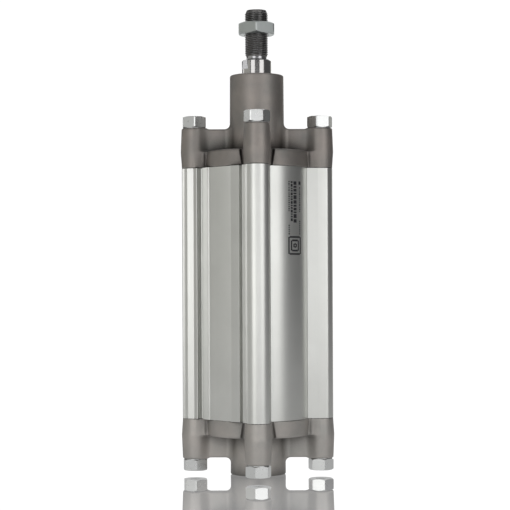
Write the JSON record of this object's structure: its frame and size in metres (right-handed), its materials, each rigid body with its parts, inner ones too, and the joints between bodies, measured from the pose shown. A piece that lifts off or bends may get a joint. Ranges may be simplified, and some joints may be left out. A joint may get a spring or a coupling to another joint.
{
  "type": "pneumatic cylinder",
  "caption": "Double-acting pneumatic cylinder: lobed extruded tube between cast end caps, tie-rod nuts at the corners, chromed rod with threaded end and jam nut.",
  "frame": {"origin": "centre of the rear boss's flat end face, on the rod's axis", "axes": "+Z along the rod, from the rear cap to the threaded rod end; -X through the two air ports; -Y and +Y through the slotted sides of the tube"},
  "size_m": [0.0976, 0.0976, 0.391],
  "materials": {
    "cast_aluminium": "die-cast, fine blasted skin, warm grey",
    "tube_aluminium": "extruded, clear anodised, fine lines along the length",
    "turned_aluminium": "turned",
    "zinc_steel": "bright zinc plated",
    "hard_chrome": "ground and hard chromed",
    "plain_steel": "machined",
    "bronze": "sintered bronze bearing",
    "black_rubber": "nitrile rubber",
    "polyurethane": "moulded polyurethane",
    "guide_plastic": "filled acetal",
    "bonded_magnet": "plastic-bonded ferrite"
  },
  "bodies": {
    "housing": {"front_cap": "cast_aluminium", "rear_cap": "cast_aluminium", "barrel": "tube_aluminium", "tie_rod_1": "zinc_steel", "tie_rod_2": "zinc_steel", "tie_rod_3": "zinc_steel", "tie_rod_4": "zinc_steel", "front_tie_rod_nut_1": "zinc_steel", "front_tie_rod_nut_2": "zinc_steel", "front_tie_rod_nut_3": "zinc_steel", "front_tie_rod_nut_4": "zinc_steel", "rear_tie_rod_nut_1": "zinc_steel", "rear_tie_rod_nut_2": "zinc_steel", "rear_tie_rod_nut_3": "zinc_steel", "rear_tie_rod_nut_4": "zinc_steel", "rod_bush": "bronze", "front_barrel_o_ring": "black_rubber", "rear_barrel_o_ring": "black_rubber", "rod_seal": "polyurethane", "front_cushion_seal": "polyurethane", "rear_cushion_seal": "polyurethane"},
    "piston_seals": {"piston_front_seal": "polyurethane", "piston_rear_seal": "polyurethane", "piston_guide_ring": "guide_plastic"},
    "rod": {"piston_rod": "hard_chrome", "piston_front_half": "turned_aluminium", "piston_rear_half": "turned_aluminium", "magnet_ring": "bonded_magnet", "front_cushion_sleeve": "turned_aluminium", "rear_cushion_sleeve": "turned_aluminium", "piston_nut": "plain_steel"},
    "rod_end_nut": {"rod_end_nut": "zinc_steel"},
    "front_screw_o_ring": {"front_cushion_screw_o_ring": "black_rubber"},
    "front_screw": {"front_cushion_screw": "plain_steel"},
    "rear_screw_o_ring": {"rear_cushion_screw_o_ring": "black_rubber"},
    "rear_screw": {"rear_cushion_screw": "plain_steel"}
  },
  "joints": [
    {"name": "piston_stroke", "type": "slide", "parent": "housing", "child": "piston_seals", "axis": [0, 0, 1], "range_m": [0, 0.15]},
    {"name": "rod_turn", "type": "hinge", "parent": "piston_seals", "child": "rod", "pos_m": [0, 0, 0.0775], "axis": [0, 0, 1], "continuous": true},
    {"name": "rod_end_nut_turn", "type": "hinge", "parent": "rod", "child": "rod_end_nut", "pos_m": [0, 0, 0.3754], "axis": [0, 0, 1], "continuous": true},
    {"name": "front_screw_travel", "type": "slide", "parent": "housing", "child": "front_screw_o_ring", "axis": [0, 1, 0], "range_m": [0, 0.003]},
    {"name": "front_screw_turn", "type": "hinge", "parent": "front_screw_o_ring", "child": "front_screw", "pos_m": [0, 0.036, 0.2645], "axis": [0, 1, 0], "range_deg": [0, 1080]},
    {"name": "rear_screw_travel", "type": "slide", "parent": "housing", "child": "rear_screw_o_ring", "axis": [0, 1, 0], "range_m": [0, 0.003]},
    {"name": "rear_screw_turn", "type": "hinge", "parent": "rear_screw_o_ring", "child": "rear_screw", "pos_m": [0, 0.036, 0.0405], "axis": [0, 1, 0], "range_deg": [0, 1080]}
  ],
  "couplings": [
    {"joint": "front_screw_turn", "follows": "front_screw_travel", "rad_per_m": 6283.1},
    {"joint": "rear_screw_turn", "follows": "rear_screw_travel", "rad_per_m": 6283.1}
  ]
}
